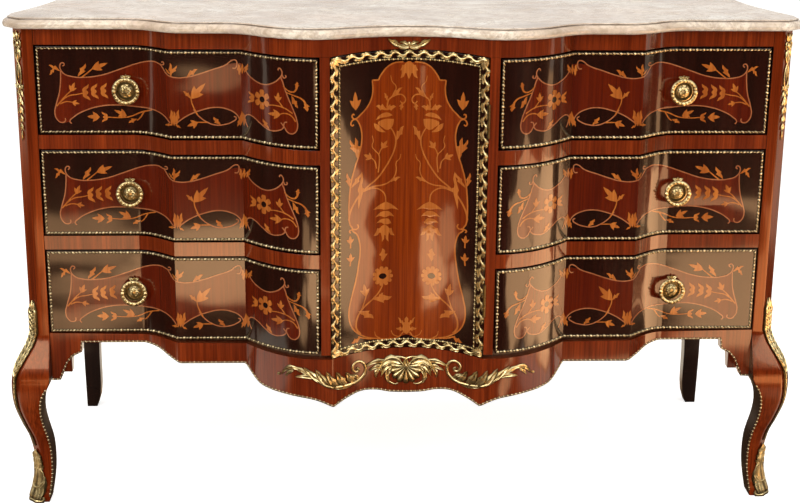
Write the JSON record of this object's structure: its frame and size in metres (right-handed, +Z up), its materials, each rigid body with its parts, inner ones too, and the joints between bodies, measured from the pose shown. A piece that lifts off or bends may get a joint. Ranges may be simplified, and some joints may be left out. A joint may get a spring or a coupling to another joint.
{
  "type": "commode chest",
  "caption": "Serpentine breakfront commode with veneered drawers, a hollow-curved door, cabriole legs, gilt mounts and a moulded stone top.",
  "frame": {"origin": "on the ground, below the middle of the overall box", "axes": "+X to the right of someone facing the front, +Y to the back, +Z up; the front faces -Y"},
  "size_m": [1.476, 0.649, 0.9313],
  "materials": {
    "veneer": "red-brown veneer with vertical grain, high gloss",
    "marquetry": "marquetry in several woods, high gloss",
    "inner_wood": "plain wood, satin",
    "dark_wood": "dark stained wood, semi-gloss",
    "gilt_brass": "antique gold, worn on the high spots",
    "marble": "polished cream stone with grey streaks"
  },
  "bodies": {
    "carcass": {"marble_top": "marble", "top_board": "inner_wood", "bottom_board": "inner_wood", "back_panel": "inner_wood", "top_rail": "veneer", "apron": "veneer", "side_panel_left": "veneer", "side_panel_right": "veneer", "front_leg_left": "veneer", "front_leg_right": "veneer", "rear_leg_left": "dark_wood", "rear_leg_right": "dark_wood", "door_hinge_lower_fixed": "gilt_brass", "door_hinge_upper_fixed": "gilt_brass", "partition_left": "veneer", "partition_right": "veneer", "cupboard_shelf": "inner_wood", "dust_board_above_bottom_left": "veneer", "dust_board_above_bottom_right": "veneer", "dust_board_above_middle_left": "veneer", "dust_board_above_middle_right": "veneer", "corner_mount_left": "gilt_brass", "corner_mount_right": "gilt_brass", "knee_mount_left": "gilt_brass", "knee_mount_right": "gilt_brass", "sabot_left": "gilt_brass", "sabot_right": "gilt_brass", "apron_shell": "gilt_brass", "apron_scroll_left": "gilt_brass", "apron_scroll_right": "gilt_brass", "ribbon_mount": "gilt_brass"},
    "door": {"door_hinge_lower_moving": "gilt_brass", "door_hinge_upper_moving": "gilt_brass", "door_panel": "marquetry", "door_frame_mount": "gilt_brass"},
    "drawer_bottom_left": {"drawer_front_bottom_left": "marquetry", "drawer_box_bottom_left": "inner_wood", "pull_plate_bottom_left": "gilt_brass"},
    "ring_bottom_left": {"pull_ring_bottom_left": "gilt_brass"},
    "drawer_middle_left": {"drawer_front_middle_left": "marquetry", "drawer_box_middle_left": "inner_wood", "pull_plate_middle_left": "gilt_brass"},
    "ring_middle_left": {"pull_ring_middle_left": "gilt_brass"},
    "drawer_top_left": {"drawer_front_top_left": "marquetry", "drawer_box_top_left": "inner_wood", "pull_plate_top_left": "gilt_brass"},
    "ring_top_left": {"pull_ring_top_left": "gilt_brass"},
    "drawer_bottom_right": {"drawer_front_bottom_right": "marquetry", "drawer_box_bottom_right": "inner_wood", "pull_plate_bottom_right": "gilt_brass"},
    "ring_bottom_right": {"pull_ring_bottom_right": "gilt_brass"},
    "drawer_middle_right": {"drawer_front_middle_right": "marquetry", "drawer_box_middle_right": "inner_wood", "pull_plate_middle_right": "gilt_brass"},
    "ring_middle_right": {"pull_ring_middle_right": "gilt_brass"},
    "drawer_top_right": {"drawer_front_top_right": "marquetry", "drawer_box_top_right": "inner_wood", "pull_plate_top_right": "gilt_brass"},
    "ring_top_right": {"pull_ring_top_right": "gilt_brass"}
  },
  "joints": [
    {"name": "drawer_slide_bottom_left", "type": "slide", "parent": "carcass", "child": "drawer_bottom_left", "axis": [0, -1, 0], "range_m": [0, 0.35]},
    {"name": "ring_swing_bottom_left", "type": "hinge", "parent": "drawer_bottom_left", "child": "ring_bottom_left", "pos_m": [-0.50187, -0.19797, 0.4439], "axis": [-1, 0, 0], "range_deg": [0, 120]},
    {"name": "drawer_slide_middle_left", "type": "slide", "parent": "carcass", "child": "drawer_middle_left", "axis": [0, -1, 0], "range_m": [0, 0.35]},
    {"name": "ring_swing_middle_left", "type": "hinge", "parent": "drawer_middle_left", "child": "ring_middle_left", "pos_m": [-0.50187, -0.19797, 0.6329], "axis": [-1, 0, 0], "range_deg": [0, 120]},
    {"name": "drawer_slide_top_left", "type": "slide", "parent": "carcass", "child": "drawer_top_left", "axis": [0, -1, 0], "range_m": [0, 0.35]},
    {"name": "ring_swing_top_left", "type": "hinge", "parent": "drawer_top_left", "child": "ring_top_left", "pos_m": [-0.50187, -0.19797, 0.8219], "axis": [-1, 0, 0], "range_deg": [0, 120]},
    {"name": "drawer_slide_bottom_right", "type": "slide", "parent": "carcass", "child": "drawer_bottom_right", "axis": [0, -1, 0], "range_m": [0, 0.35]},
    {"name": "ring_swing_bottom_right", "type": "hinge", "parent": "drawer_bottom_right", "child": "ring_bottom_right", "pos_m": [0.50187, -0.19797, 0.4439], "axis": [-1, 0, 0], "range_deg": [0, 120]},
    {"name": "drawer_slide_middle_right", "type": "slide", "parent": "carcass", "child": "drawer_middle_right", "axis": [0, -1, 0], "range_m": [0, 0.35]},
    {"name": "ring_swing_middle_right", "type": "hinge", "parent": "drawer_middle_right", "child": "ring_middle_right", "pos_m": [0.50187, -0.19797, 0.6329], "axis": [-1, 0, 0], "range_deg": [0, 120]},
    {"name": "drawer_slide_top_right", "type": "slide", "parent": "carcass", "child": "drawer_top_right", "axis": [0, -1, 0], "range_m": [0, 0.35]},
    {"name": "ring_swing_top_right", "type": "hinge", "parent": "drawer_top_right", "child": "ring_top_right", "pos_m": [0.50187, -0.19797, 0.8219], "axis": [-1, 0, 0], "range_deg": [0, 120]},
    {"name": "door_swing", "type": "hinge", "parent": "carcass", "child": "door", "pos_m": [0.137, -0.31727, 0.6], "axis": [0, 0, 1], "range_deg": [0, 90]}
  ]
}
